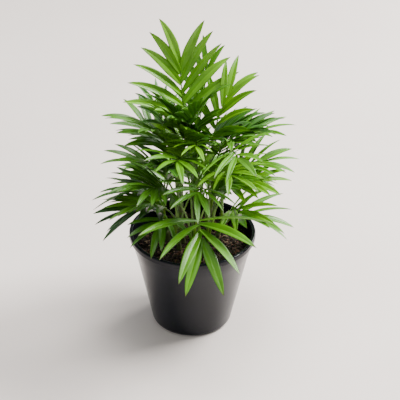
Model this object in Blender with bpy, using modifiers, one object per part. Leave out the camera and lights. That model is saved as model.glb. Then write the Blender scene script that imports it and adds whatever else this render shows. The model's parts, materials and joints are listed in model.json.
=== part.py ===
"""A young bamboo palm in a round black nursery pot.

Ten seedlings stand together in the potting mix. Each has a short cane wrapped in leaf bases. Its fronds rise
from the cane on thin stalks and arch outwards, with narrow leaflets along both sides of the rib.
Metres, +Z up, with the origin at the middle of the pot's flat underside. Seen from the front, -Y is towards
the viewer. An azimuth of 0 points to the right, along +X, and 90 points away, along +Y.
"""

import math
import random
from collections import namedtuple
from itertools import product

import bpy
from mathutils import Matrix, Vector
from mathutils.bvhtree import BVHTree

MM = 0.001
GAP = 0.3 * MM
UP = Vector((0, 0, 1))

# The pot
RIM_RADIUS = 63 * MM
POT_HEIGHT = 103 * MM
LIP_HEIGHT = 5.5 * MM
LIP_OVERHANG = 2.3 * MM
LIP_ROUND = 1.6 * MM
LIP_CHAMFER = 0.6 * MM
COLLAR_DEPTH = 15 * MM
COLLAR_STEP = 0.7 * MM
BASE_RADIUS = 40.5 * MM
BASE_CORNER = 5 * MM
WALL = 1.6 * MM
FLOOR = 2.2 * MM
POT_SEGMENTS = 40
CORNER_STEPS = 3
HOLE_SIDES = 16
DRAIN_HOLES = 6
DRAIN_RADIUS = 4 * MM
DRAIN_RING = 26 * MM

# The potting mix
SOIL_BELOW_RIM = 13 * MM
SOIL_FLAT = 32 * MM
SOIL_FALL = 2.5 * MM

# The canes
CANE_FOOT_RADIUS = 3.4 * MM
CANE_RADIUS = 2.5 * MM
CANE_FOOT_HEIGHT = 4 * MM
CANE_JOINTS = 3
CANE_TAPER = 0.05

# The fronds
STALK_RADIUS = 1.0 * MM
RIB_TIP_RADIUS = 0.5 * MM
RIB_STEPS = 8
RIB_BEND_POWER = 1.5
MISSING_LEAFLETS = 2

# The leaflets: their angle from the rib at its foot and at its tip, and how they curve
ROOT_ANGLE = 54
TIP_ANGLE = 17
LIFT = 12
DROOP = 0.5
DROOP_POWER = 1.4
LEAFLET_TIP_SHARE = 0.78
LEAFLET_WIDTH_SHARE = 0.155
LEAFLET_THICKNESS = 0.9 * MM
LEAFLET_FOLD = 0.12
FACE_UP_SHARE = 0.35
STAGGER = 0.25
CLEARANCE = 0.35 * MM
SEED = 11

# A leaflet's path has equal steps. It has a section at some of them, with a share of its full width
LEAFLET_STEPS = 12
LEAFLET_OUTLINE = ((0, 0.12), (3, 0.88), (8, 0.88))

# What a leaflet tries in turn, to keep clear of others: swing and lift in degrees, share of its length
LEAFLET_TRIES = (
    (0, 0, 1.0), (5, 0, 1.0), (-5, 0, 1.0), (0, 9, 1.0), (0, -9, 1.0), (9, 6, 0.96), (-9, -6, 0.96),
    (6, -14, 0.92), (-6, 14, 0.92), (0, 20, 0.86), (0, -20, 0.86), (12, 12, 0.75), (-12, -12, 0.75),
    (0, 0, 0.6),
)

# What a stalk tries in turn: changes of rise and of azimuth in degrees, and its gap from the cane in mm
STALK_RISES = (0, -4, 4, -8)
STALK_TURNS = (0, 4, -4, 8, -8, 13, -13, 18, -18, 24, -24)
STALK_GAPS = (0.4, 0.8, 1.2)

Seedling = namedtuple("Seedling", "azimuth reach height lean lean_azimuth")
Frond = namedtuple("Frond", "seedling start azimuth rise end_rise length bare pairs leaflet turn")

# Azimuth and distance of the foot from the middle, height of the cane, how far it leans and which way
SEEDLINGS = {
    "rear_left": Seedling(130, 18, 60, 5, 120),
    "rear": Seedling(85, 21, 55, 4, 90),
    "rear_right": Seedling(40, 20, 50, 6, 40),
    "right": Seedling(-5, 24, 34, 10, 0),
    "front_right": Seedling(-45, 20, 30, 8, -45),
    "front": Seedling(-85, 21, 20, 10, -85),
    "front_left": Seedling(-130, 20, 26, 10, -130),
    "left": Seedling(178, 24, 34, 10, 180),
    "tallest": Seedling(60, 5, 72, 3, 60),
    "middle_left": Seedling(200, 10, 45, 4, 200),
}

# The fronds that show from the front. Each has its seedling, where it leaves the cane as a share of its
# height, azimuth, rise at the foot and at the tip in degrees, length of stalk and rib in mm, the share of it
# that is bare stalk, pairs of leaflets, longest leaflet in mm, and turn about the rib in degrees
FRONDS = {
    "crown": Frond("tallest", 1, 123, 64, 86, 112, 0.52, 6, 68, -14),
    "upper_right": Frond("rear_right", 1, 43, 98, 51, 102, 0.56, 5, 56, 5),
    "upper_rear": Frond("rear", 1, 62, 85, 68, 112, 0.64, 5, 48, -10),
    "left_rear": Frond("rear_left", 1, 145, 76, 58, 78, 0.72, 4, 42, 5),
    "right_fan": Frond("rear_right", 0.8, 10, 94, 16, 96, 0.64, 5, 50, 0),
    "right_middle": Frond("right", 1, -2, 92, 4, 78, 0.66, 5, 48, 10),
    "right_lower": Frond("front_right", 0.9, -16, 86, 8, 78, 0.66, 5, 46, 14),
    "right_low": Frond("right", 0.5, -15, 58, -8, 34, 0.45, 4, 60, -5),
    "left_high": Frond("rear_left", 0.75, 152, 87, 16, 84, 0.62, 5, 52, -8),
    "left_middle": Frond("middle_left", 0.75, 190, 86, 17, 76, 0.53, 5, 54, 14),
    "left_lower": Frond("left", 0.75, 175, 90, -22, 47, 0.53, 5, 57, 14),
    "left_low": Frond("left", 0.5, 201, 80, -17, 37, 0.43, 5, 62, 0),
    "front_low": Frond("front", 1, -83, 71, -30, 76, 0.58, 4, 76, 0),
    "front_left_low": Frond("front_left", 0.5, 241, 86, -16, 54, 0.64, 4, 48, -14),
    "centre_high": Frond("tallest", 0.75, -91, 97, 6, 94, 0.72, 4, 36, 4),
    "centre_left": Frond("middle_left", 1, -93, 94, 8, 91, 0.8, 4, 50, -10),
    "centre_low": Frond("front_right", 0.7, -104, 96, -4, 98, 0.8, 4, 48, -10),
    "centre_right": Frond("right", 0.8, -79, 104, 10, 142, 0.82, 4, 48, 25),
    "inner_right": Frond("front_right", 1, -65, 98, 3, 104, 0.78, 4, 48, 11),
    "inner_left": Frond("front_left", 1, -126, 92, 12, 79, 0.78, 4, 46, -16),
    "lower_right": Frond("right", 0.6, -48, 79, 2, 40, 0.6, 4, 52, 20),
}

# The fronds that fill each seedling's gaps: an old one that hangs low and outwards, and younger ones that arch
# over, more upright and longer the nearer they point to the middle. Each varies at random within a range
TALL_SEEDLING = 50
FRONDS_EACH = 4
FRONDS_EACH_TALL = 5
LOW_FROND = Frond("", 0.35, 0, 74, -24, 56, 0.5, 5, 54, 0)
ARCHING_FROND = Frond("", 1, 0, 86, 26, 90, 0.6, 5, 50, 0)
RISE_LOSS_OUTWARD = 6
END_RISE_LOSS_OUTWARD = 26
LENGTH_LOSS_OUTWARD = 12
START_RANGE = (0.6, 0.95)
ANGLE_RANGE = (-10, 10)
LENGTH_RANGE = (-8, 8)
LEAFLET_RANGE = (-4, 4)


def clear_scene():
    for thing in list(bpy.data.objects):
        bpy.data.objects.remove(thing, do_unlink=True)


def material(name, colour, roughness):
    made = bpy.data.materials.new(name)
    made.use_nodes = True
    shader = made.node_tree.nodes["Principled BSDF"]
    shader.inputs["Base Color"].default_value = (*colour, 1)
    shader.inputs["Roughness"].default_value = roughness
    made.diffuse_color = (*colour, 1)
    return made


def collection(name):
    made = bpy.data.collections.new(name)
    bpy.context.scene.collection.children.link(made)
    return made


def mesh_object(name, points, faces, into, surface):
    mesh = bpy.data.meshes.new(name)
    mesh.from_pydata(points, [], faces)
    mesh.materials.append(surface)
    made = bpy.data.objects.new(name, mesh)
    into.objects.link(made)
    return made


def apply_modifiers(thing):
    """Keep the shape that the modifiers make, as a plain mesh."""
    graph = bpy.context.evaluated_depsgraph_get()
    mesh = bpy.data.meshes.new_from_object(thing.evaluated_get(graph))
    thing.modifiers.clear()
    thing.data = mesh


def polar(radius, azimuth, height=0.0):
    turned = math.radians(azimuth)
    return Vector((radius * math.cos(turned), radius * math.sin(turned), height))


def arc(centre, radius, start, end, steps):
    """Points (radius, height) of a round corner, between two angles in degrees."""
    angles = [math.radians(start + (end - start) * k / steps) for k in range(steps + 1)]
    return [(centre[0] + radius * math.cos(a), centre[1] + radius * math.sin(a)) for a in angles]


def turned(name, profile, segments, into, surface):
    """A solid of revolution about Z. The profile runs down its outer side."""
    points = [(radius, 0, height) for radius, height in profile]
    edges = [(k, k + 1) for k in range(len(points) - 1)]
    mesh = bpy.data.meshes.new(name)
    mesh.from_pydata(points, edges, [])
    mesh.materials.append(surface)
    made = bpy.data.objects.new(name, mesh)
    into.objects.link(made)
    screw = made.modifiers.new("Turn", "SCREW")
    screw.axis = "Z"
    screw.steps = segments
    screw.render_steps = segments
    screw.use_merge_vertices = True
    screw.merge_threshold = 0.00001
    screw.use_smooth_shade = True
    return made


def body_radius(height):
    """Outer radius of the pot's straight wall, which widens from its base to the underside of the lip."""
    under_lip = POT_HEIGHT - LIP_HEIGHT
    return BASE_RADIUS + (RIM_RADIUS - LIP_OVERHANG - BASE_RADIUS) * height / under_lip


def pot_profile():
    under_lip = POT_HEIGHT - LIP_HEIGHT
    collar = under_lip - COLLAR_DEPTH
    inner_floor = body_radius(BASE_CORNER) - WALL - BASE_CORNER
    lip_inner = body_radius(under_lip) - WALL
    points = [(0, FLOOR)]
    points += arc((inner_floor, FLOOR + BASE_CORNER), BASE_CORNER, -90, 0, CORNER_STEPS)
    points += [(body_radius(collar) - WALL - COLLAR_STEP, collar - COLLAR_STEP)]
    points += [(body_radius(collar) - WALL, collar + COLLAR_STEP)]
    points += [(lip_inner, under_lip)]
    points += arc((lip_inner + LIP_ROUND, POT_HEIGHT - LIP_ROUND), LIP_ROUND, 180, 90, CORNER_STEPS)
    points += arc((RIM_RADIUS - LIP_ROUND, POT_HEIGHT - LIP_ROUND), LIP_ROUND, 90, 0, CORNER_STEPS)
    points += [(RIM_RADIUS, under_lip + LIP_CHAMFER)]
    points += [(RIM_RADIUS - LIP_CHAMFER, under_lip)]
    points += [(body_radius(under_lip), under_lip)]
    points += [(body_radius(collar), collar + COLLAR_STEP)]
    points += [(body_radius(collar) - COLLAR_STEP, collar - COLLAR_STEP)]
    outer_corner = body_radius(BASE_CORNER) - COLLAR_STEP - BASE_CORNER
    points += arc((outer_corner, BASE_CORNER), BASE_CORNER, 0, -90, CORNER_STEPS)
    points += [(0, 0)]
    return points


def make_pot(into, cutters, plastic):
    pot = turned("pot", pot_profile(), POT_SEGMENTS, into, plastic)
    for k in range(DRAIN_HOLES):
        place = polar(DRAIN_RING, 360 * (k + 0.5) / DRAIN_HOLES)
        bpy.ops.mesh.primitive_cylinder_add(
            vertices=HOLE_SIDES, radius=DRAIN_RADIUS, depth=4 * FLOOR, location=place)
        hole = bpy.context.object
        hole.name = f"drain_hole_{k + 1}"
        hole.hide_render = True
        hole.display_type = "WIRE"
        bpy.context.collection.objects.unlink(hole)
        cutters.objects.link(hole)
    cut = pot.modifiers.new("Drain holes", "BOOLEAN")
    cut.operation = "DIFFERENCE"
    cut.operand_type = "COLLECTION"
    cut.collection = cutters
    cut.solver = "EXACT"
    return pot


def soil_height(radius):
    """Height of the potting mix, flat in the middle and falling a little to the pot's wall."""
    top = POT_HEIGHT - SOIL_BELOW_RIM
    wall = body_radius(top) - WALL
    fall = max(0.0, (radius - SOIL_FLAT) / (wall - SOIL_FLAT))
    return top - SOIL_FALL * fall


def make_soil(into, soil):
    """The mix fills the pot a small gap clear of its wall and floor."""
    collar = POT_HEIGHT - LIP_HEIGHT - COLLAR_DEPTH
    edge = body_radius(POT_HEIGHT - SOIL_BELOW_RIM - SOIL_FALL) - WALL - GAP
    corner = body_radius(BASE_CORNER) - WALL - BASE_CORNER
    profile = [(0, soil_height(0)), (SOIL_FLAT, soil_height(SOIL_FLAT)), (edge, soil_height(edge))]
    profile += [(body_radius(collar) - WALL - GAP, collar + COLLAR_STEP)]
    profile += [(body_radius(collar) - COLLAR_STEP - WALL - GAP, collar - COLLAR_STEP)]
    profile += arc((corner, FLOOR + BASE_CORNER), BASE_CORNER - GAP, 0, -90, CORNER_STEPS)
    profile += [(0, FLOOR + GAP)]
    return turned("potting_mix", profile, POT_SEGMENTS, into, soil)


def cane_path(seedling):
    """The foot of the cane, cut flat on the soil, then its leaning length."""
    foot = polar(seedling.reach * MM, seedling.azimuth)
    foot.z = soil_height(foot.length) + GAP
    lean = math.radians(seedling.lean)
    along = polar(math.sin(lean), seedling.lean_azimuth, math.cos(lean))
    start = foot + UP * CANE_FOOT_HEIGHT
    rest = seedling.height * MM - CANE_FOOT_HEIGHT
    return [foot] + [start + along * rest * k / CANE_JOINTS for k in range(CANE_JOINTS + 1)]


def make_cane(name, seedling, into, bark):
    points = cane_path(seedling)
    curve = bpy.data.curves.new(name, "CURVE")
    curve.dimensions = "3D"
    curve.bevel_depth = CANE_RADIUS
    curve.bevel_resolution = 2
    curve.use_fill_caps = True
    spline = curve.splines.new("POLY")
    spline.points.add(len(points) - 1)
    for k, point in enumerate(points):
        spline.points[k].co = (*point, 1)
        spline.points[k].radius = 1 - CANE_TAPER * k
    spline.points[0].radius = CANE_FOOT_RADIUS / CANE_RADIUS
    curve.materials.append(bark)
    made = bpy.data.objects.new(name, curve)
    into.objects.link(made)
    return made


def rise_at(frond, along):
    return math.radians(frond.rise + (frond.end_rise - frond.rise) * along**RIB_BEND_POWER)


def frame_at(frond, along):
    """The way the rib runs there, the blade's right side and its upper face."""
    heading = polar(1, frond.azimuth)
    rise = rise_at(frond, along)
    run = heading * math.cos(rise) + UP * math.sin(rise)
    side = heading.cross(UP)
    turn = Matrix.Rotation(math.radians(frond.turn), 3, run)
    return run, turn @ side, turn @ side.cross(run)


def rib_points(frond, foot):
    points = [foot]
    for k in range(RIB_STEPS):
        run = frame_at(frond, (k + 0.5) / RIB_STEPS)[0]
        points.append(points[-1] + run * frond.length * MM / RIB_STEPS)
    return points


def on_rib(points, along):
    place = min(along * RIB_STEPS, RIB_STEPS - 1e-6)
    k = int(place)
    return points[k].lerp(points[k + 1], place - k)


def rib_radius(along):
    return STALK_RADIUS + (RIB_TIP_RADIUS - STALK_RADIUS) * along


def loft(rings, tip=None):
    """Points and faces of a closed shape through rings of three points, each going round the same way."""
    points = [point for ring in rings for point in ring]
    last = 3 * len(rings) - 3
    faces = [(0, 1, 2)]
    for first in range(0, last, 3):
        for i, j in ((0, 1), (1, 2), (2, 0)):
            faces.append((first + i, first + 3 + i, first + 3 + j, first + j))
    if tip is None:
        return points, faces + [(last + 2, last + 1, last)]
    tip_faces = [(last + 1, last, last + 3), (last + 2, last + 1, last + 3), (last, last + 2, last + 3)]
    return points + [tip], faces + tip_faces


def rib_shape(frond, points, swell=0.0):
    """The stalk and rib, three-sided, with one side on top."""
    rings = []
    for k, point in enumerate(points):
        side, face = frame_at(frond, k / RIB_STEPS)[1:]
        radius = rib_radius(k / RIB_STEPS) + swell
        rings.append([point + radius * (side * math.cos(a) + face * math.sin(a)) for a in
                      (math.radians(30), math.radians(150), math.radians(270))])
    return loft(rings)


def leaflet_path(frond, points, along, hand, change):
    """Points and directions from the rib to the leaflet's tip, and the way its upper face looks."""
    swing, lift, share = change
    blade = (along - frond.bare) / (1 - frond.bare)
    run, side, face = frame_at(frond, along)
    angle = math.radians(ROOT_ANGLE + (TIP_ANGLE - ROOT_ANGLE) * blade + swing)
    raised = math.radians(LIFT + lift)
    out = hand * side * math.cos(raised) + face * math.sin(raised)
    start = run * math.cos(angle) + out * math.sin(angle)
    step = frond.leaflet * MM * (1 + (LEAFLET_TIP_SHARE - 1) * blade) * share / LEAFLET_STEPS
    path = [on_rib(points, along)]
    ways = [start]
    for k in range(LEAFLET_STEPS):
        way = (start - UP * DROOP * ((k + 0.5) / LEAFLET_STEPS) ** DROOP_POWER).normalized()
        path.append(path[-1] + way * step)
        ways.append(way)
    return path, ways, face * (1 - FACE_UP_SHARE) + UP * FACE_UP_SHARE


def leaflet_shape(frond, points, along, hand, change, swell=0.0, first=0):
    """One leaflet: a three-sided blade with a keel, from inside the rib to its pointed tip."""
    path, ways, upper = leaflet_path(frond, points, along, hand, change)
    width = frond.leaflet * MM * LEAFLET_WIDTH_SHARE
    rings = []
    for step, share in LEAFLET_OUTLINE[first:]:
        across = ways[step].cross(upper).normalized()
        above = across.cross(ways[step])
        half = across * (width * share / 2 + swell)
        edge = path[step] + above * (LEAFLET_FOLD * width * share + swell)
        keel = path[step] - above * (LEAFLET_THICKNESS * max(share, 0.5) + swell)
        rings.append([edge - half, keel, edge + half])
    return loft(rings, path[-1] + ways[-1] * swell)


Piece = namedtuple("Piece", "owner shape low high whole outer")


def piece_of(shape, owner, outer=None):
    """A shape with its box, and the part of it that the leaflets of its own frond keep clear of."""
    low = [min(point[i] for point in shape[0]) for i in range(3)]
    high = [max(point[i] for point in shape[0]) for i in range(3)]
    whole = BVHTree.FromPolygons(*shape)
    return Piece(owner, shape, low, high, whole, BVHTree.FromPolygons(*outer) if outer else whole)


def boxes_meet(a, b):
    return all(a.low[i] <= b.high[i] and b.low[i] <= a.high[i] for i in range(3))


def is_clear(trial, placed):
    """Whether a trial piece touches nothing. Within one frond only the outer parts count."""
    for other in placed:
        if boxes_meet(trial, other):
            part = "outer" if other.owner == trial.owner else "whole"
            if getattr(trial, part).overlap(getattr(other, part)):
                return False
    return True


def shape_of(thing):
    """The evaluated points and faces of an object that stands at the origin."""
    graph = bpy.context.evaluated_depsgraph_get()
    mesh = bpy.data.meshes.new_from_object(thing.evaluated_get(graph))
    points = [vertex.co.copy() for vertex in mesh.vertices]
    faces = [tuple(face.vertices) for face in mesh.polygons]
    bpy.data.meshes.remove(mesh)
    return points, faces


def stalk_foot(frond, gap):
    """Where a stalk starts: beside its cane with a flat side to it, or on top of it for the youngest frond."""
    path = cane_path(SEEDLINGS[frond.seedling])
    if frond.start == 1:
        return path[-1] + UP * 2 * GAP
    cane_radius = CANE_RADIUS * (1 - CANE_TAPER * (1 + CANE_JOINTS * frond.start))
    return path[1].lerp(path[-1], frond.start) + polar(cane_radius + STALK_RADIUS / 2 + gap, frond.azimuth)


def widest_gap(azimuths):
    """The middle of the widest gap between some azimuths."""
    around = sorted(azimuth % 360 for azimuth in azimuths)
    gaps = [((b - a) % 360 or 360, a) for a, b in zip(around, around[1:] + around[:1])]
    width, start = max(gaps)
    return (start + width / 2) % 360


def add_hidden_fronds(rng):
    """The fronds that fill each seedling's own gaps, so that the crown is full all round."""
    fronds = dict(FRONDS)
    for name, seedling in SEEDLINGS.items():
        own = [frond for frond in fronds.values() if frond.seedling == name]
        wanted = FRONDS_EACH_TALL if seedling.height >= TALL_SEEDLING else FRONDS_EACH
        for k in range(wanted - len(own)):
            if all(frond.end_rise > 0 for frond in own):
                made = low_frond(name, seedling, rng)
            else:
                made = arching_frond(name, seedling, own, rng)
            own.append(made)
            fronds[f"{name}_{k + 1}"] = made
    return fronds


def low_frond(name, seedling, rng):
    """An old frond that hangs outwards from low on its cane."""
    return LOW_FROND._replace(seedling=name, azimuth=seedling.azimuth + rng.uniform(*ANGLE_RANGE))


def arching_frond(name, seedling, own, rng):
    """A frond into the widest gap between the others, on top of its cane where none is there yet."""
    azimuth = widest_gap([frond.azimuth for frond in own]) + rng.uniform(*ANGLE_RANGE)
    outward = math.cos(math.radians(azimuth - seedling.azimuth))
    first = ARCHING_FROND
    return first._replace(
        seedling=name,
        start=1 if all(frond.start < 1 for frond in own) else rng.uniform(*START_RANGE),
        azimuth=azimuth,
        rise=first.rise - RISE_LOSS_OUTWARD * outward,
        end_rise=first.end_rise - END_RISE_LOSS_OUTWARD * outward + rng.uniform(*ANGLE_RANGE),
        length=first.length - LENGTH_LOSS_OUTWARD * outward + rng.uniform(*LENGTH_RANGE),
        leaflet=first.leaflet + rng.uniform(*LEAFLET_RANGE),
    )


def clear_stalks(name, frond, placed):
    """The changes that keep a stalk and rib clear, each as a frond and the points of its rib."""
    for more, turn, gap in product(STALK_RISES, STALK_TURNS, STALK_GAPS):
        azimuth = frond.azimuth + turn
        trial = frond._replace(azimuth=azimuth, rise=frond.rise + more, end_rise=frond.end_rise + more)
        points = rib_points(trial, stalk_foot(trial, gap * MM))
        if is_clear(piece_of(rib_shape(trial, points, CLEARANCE), name), placed):
            yield trial, points


def leaflet_places(frond):
    """How far along the frond each leaflet stands, and on which side of the rib, from the lowest pair up."""
    step = (1 - frond.bare) / (frond.pairs - 1)
    for k in range(frond.pairs):
        for hand in (-1, 1):
            late = STAGGER * step if hand > 0 and k < frond.pairs - 1 else 0
            yield frond.bare + k * step + late, hand


def grow_leaflets(name, frond, points, placed):
    """The leaflets that fit, each as it stands once it is clear of everything placed before it."""
    grown = []
    for along, hand in leaflet_places(frond):
        for change in LEAFLET_TRIES:
            whole = leaflet_shape(frond, points, along, hand, change, CLEARANCE)
            outer = leaflet_shape(frond, points, along, hand, change, CLEARANCE, 1)
            if is_clear(piece_of(whole, name, outer), placed + grown):
                whole = leaflet_shape(frond, points, along, hand, change)
                outer = leaflet_shape(frond, points, along, hand, change, 0, 1)
                grown.append(piece_of(whole, name, outer))
                break
    return grown


def grow_frond(name, frond, placed):
    """Of the directions that are clear, the first that has room for nearly every leaflet, or else the best."""
    best = None
    enough = 2 * frond.pairs - MISSING_LEAFLETS
    for trial, points in clear_stalks(name, frond, placed):
        rib = piece_of(rib_shape(trial, points), name)
        grown = [rib] + grow_leaflets(name, trial, points, placed + [rib])
        if best is None or len(grown) > len(best):
            best = grown
        if len(grown) > enough:
            break
    return best


def join_frond(name, pieces, into, green):
    """One solid: the stalk and rib with its leaflets fused on."""
    frond = mesh_object(name, *pieces[0].shape, into, green)
    leaflets = collection(f"{name} leaflets")
    for piece in pieces[1:]:
        mesh_object(f"{name}_leaflet", *piece.shape, leaflets, green)
    join = frond.modifiers.new("Leaflets", "BOOLEAN")
    join.operation = "UNION"
    join.operand_type = "COLLECTION"
    join.collection = leaflets
    join.solver = "EXACT"
    apply_modifiers(frond)
    for thing in list(leaflets.objects):
        bpy.data.objects.remove(thing, do_unlink=True)
    bpy.data.collections.remove(leaflets)


def make_fronds(placed, into, green):
    """The fronds that show first, with all their stalks before any leaflet, and then the others one by one."""
    stalks = {}
    for name, frond in FRONDS.items():
        stalks[name] = next(clear_stalks(name, frond, placed))
        placed.append(piece_of(rib_shape(*stalks[name]), name))
    for name, (frond, points) in stalks.items():
        rib = piece_of(rib_shape(frond, points), name)
        leaflets = grow_leaflets(name, frond, points, placed)
        placed += leaflets
        join_frond(f"frond_{name}", [rib] + leaflets, into, green)
    for name, frond in add_hidden_fronds(random.Random(SEED)).items():
        if name not in stalks:
            pieces = grow_frond(name, frond, placed)
            if pieces:
                placed += pieces
                join_frond(f"frond_{name}", pieces, into, green)


def main():
    clear_scene()
    palm = collection("Potted bamboo palm")
    cutters = collection("Cutters")
    plastic = material("Black pot plastic", (0.012, 0.012, 0.013), 0.3)
    mix = material("Potting mix", (0.035, 0.018, 0.012), 0.95)
    sheath = material("Cane and sheath", (0.16, 0.2, 0.05), 0.6)
    green = material("Frond green", (0.12, 0.33, 0.02), 0.4)
    solids = [make_pot(palm, cutters, plastic), make_soil(palm, mix)]
    solids += [make_cane(f"cane_{name}", seedling, palm, sheath) for name, seedling in SEEDLINGS.items()]
    placed = [piece_of(shape_of(thing), thing.name) for thing in solids]
    make_fronds(placed, palm, green)


main()
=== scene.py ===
"""The looks of a young bamboo palm in a round black nursery pot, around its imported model.

The fronds grow by the source's own rule, and each coarse leaflet gives its path to a finer one. Sizes are in
metres, with the origin at the middle of the pot's flat underside, +Z up and -Y towards the camera.
"""

import json
import math
import random
from collections import namedtuple
from itertools import product

import bpy
from mathutils import Matrix, Vector, noise
from mathutils.bvhtree import BVHTree

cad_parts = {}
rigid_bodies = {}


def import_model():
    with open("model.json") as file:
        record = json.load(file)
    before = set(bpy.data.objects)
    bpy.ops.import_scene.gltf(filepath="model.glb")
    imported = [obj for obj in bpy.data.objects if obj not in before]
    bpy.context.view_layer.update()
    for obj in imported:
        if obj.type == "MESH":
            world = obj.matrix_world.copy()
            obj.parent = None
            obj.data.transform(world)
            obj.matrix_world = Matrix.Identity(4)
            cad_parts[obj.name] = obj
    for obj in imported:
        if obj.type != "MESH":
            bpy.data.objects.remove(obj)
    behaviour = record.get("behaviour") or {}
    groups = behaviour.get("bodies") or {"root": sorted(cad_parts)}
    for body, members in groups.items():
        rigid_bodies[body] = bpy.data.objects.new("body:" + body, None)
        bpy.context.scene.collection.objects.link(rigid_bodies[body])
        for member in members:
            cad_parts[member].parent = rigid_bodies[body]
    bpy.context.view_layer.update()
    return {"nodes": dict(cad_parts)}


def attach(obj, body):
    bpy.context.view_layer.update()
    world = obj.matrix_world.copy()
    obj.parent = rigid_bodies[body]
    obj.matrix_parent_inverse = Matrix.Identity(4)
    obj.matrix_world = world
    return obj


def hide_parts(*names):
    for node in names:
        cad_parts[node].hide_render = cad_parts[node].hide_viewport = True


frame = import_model()

MM = 0.001
GAP = 0.3 * MM
UP = Vector((0, 0, 1))

# The pot
RIM_RADIUS = 63 * MM
POT_HEIGHT = 103 * MM
LIP_HEIGHT = 5.5 * MM
LIP_OVERHANG = 2.3 * MM
LIP_ROUND = 1.6 * MM
LIP_CHAMFER = 0.6 * MM
COLLAR_DEPTH = 15 * MM
COLLAR_STEP = 0.7 * MM
BASE_RADIUS = 40.5 * MM
BASE_CORNER = 5 * MM
WALL = 1.6 * MM
FLOOR = 2.2 * MM
POT_SEGMENTS = 144
CORNER_STEPS = 7
HOLE_SIDES = 32
DRAIN_HOLES = 6
DRAIN_RADIUS = 4 * MM
DRAIN_RING = 26 * MM

# The potting mix
SOIL_BELOW_RIM = 13 * MM
SOIL_FLAT = 32 * MM
SOIL_FALL = 2.5 * MM

# The canes
CANE_FOOT_RADIUS = 3.4 * MM
CANE_RADIUS = 2.5 * MM
CANE_FOOT_HEIGHT = 4 * MM
CANE_JOINTS = 3
CANE_TAPER = 0.05

# The fronds
STALK_RADIUS = 1.0 * MM
RIB_TIP_RADIUS = 0.5 * MM
RIB_STEPS = 8
RIB_BEND_POWER = 1.5
MISSING_LEAFLETS = 2

# The leaflets: their angle from the rib at its foot and at its tip, and how they curve
ROOT_ANGLE = 54
TIP_ANGLE = 17
LIFT = 12
DROOP = 0.5
DROOP_POWER = 1.4
LEAFLET_TIP_SHARE = 0.78
LEAFLET_WIDTH_SHARE = 0.155
LEAFLET_THICKNESS = 0.9 * MM
LEAFLET_FOLD = 0.12
FACE_UP_SHARE = 0.35
STAGGER = 0.25
CLEARANCE = 0.35 * MM
SEED = 11

# A leaflet's path has equal steps. It has a section at some of them, with a share of its full width
LEAFLET_STEPS = 12
LEAFLET_OUTLINE = ((0, 0.12), (3, 0.88), (8, 0.88))

# What a leaflet tries in turn, to keep clear of others: swing and lift in degrees, share of its length
LEAFLET_TRIES = (
    (0, 0, 1.0), (5, 0, 1.0), (-5, 0, 1.0), (0, 9, 1.0), (0, -9, 1.0), (9, 6, 0.96), (-9, -6, 0.96),
    (6, -14, 0.92), (-6, 14, 0.92), (0, 20, 0.86), (0, -20, 0.86), (12, 12, 0.75), (-12, -12, 0.75),
    (0, 0, 0.6),
)

# What a stalk tries in turn: changes of rise and of azimuth in degrees, and its gap from the cane in mm
STALK_RISES = (0, -4, 4, -8)
STALK_TURNS = (0, 4, -4, 8, -8, 13, -13, 18, -18, 24, -24)
STALK_GAPS = (0.4, 0.8, 1.2)

Seedling = namedtuple("Seedling", "azimuth reach height lean lean_azimuth")
Frond = namedtuple("Frond", "seedling start azimuth rise end_rise length bare pairs leaflet turn")

# Azimuth and distance of the foot from the middle, height of the cane, how far it leans and which way
SEEDLINGS = {
    "rear_left": Seedling(130, 18, 60, 5, 120),
    "rear": Seedling(85, 21, 55, 4, 90),
    "rear_right": Seedling(40, 20, 50, 6, 40),
    "right": Seedling(-5, 24, 34, 10, 0),
    "front_right": Seedling(-45, 20, 30, 8, -45),
    "front": Seedling(-85, 21, 20, 10, -85),
    "front_left": Seedling(-130, 20, 26, 10, -130),
    "left": Seedling(178, 24, 34, 10, 180),
    "tallest": Seedling(60, 5, 72, 3, 60),
    "middle_left": Seedling(200, 10, 45, 4, 200),
}

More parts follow.
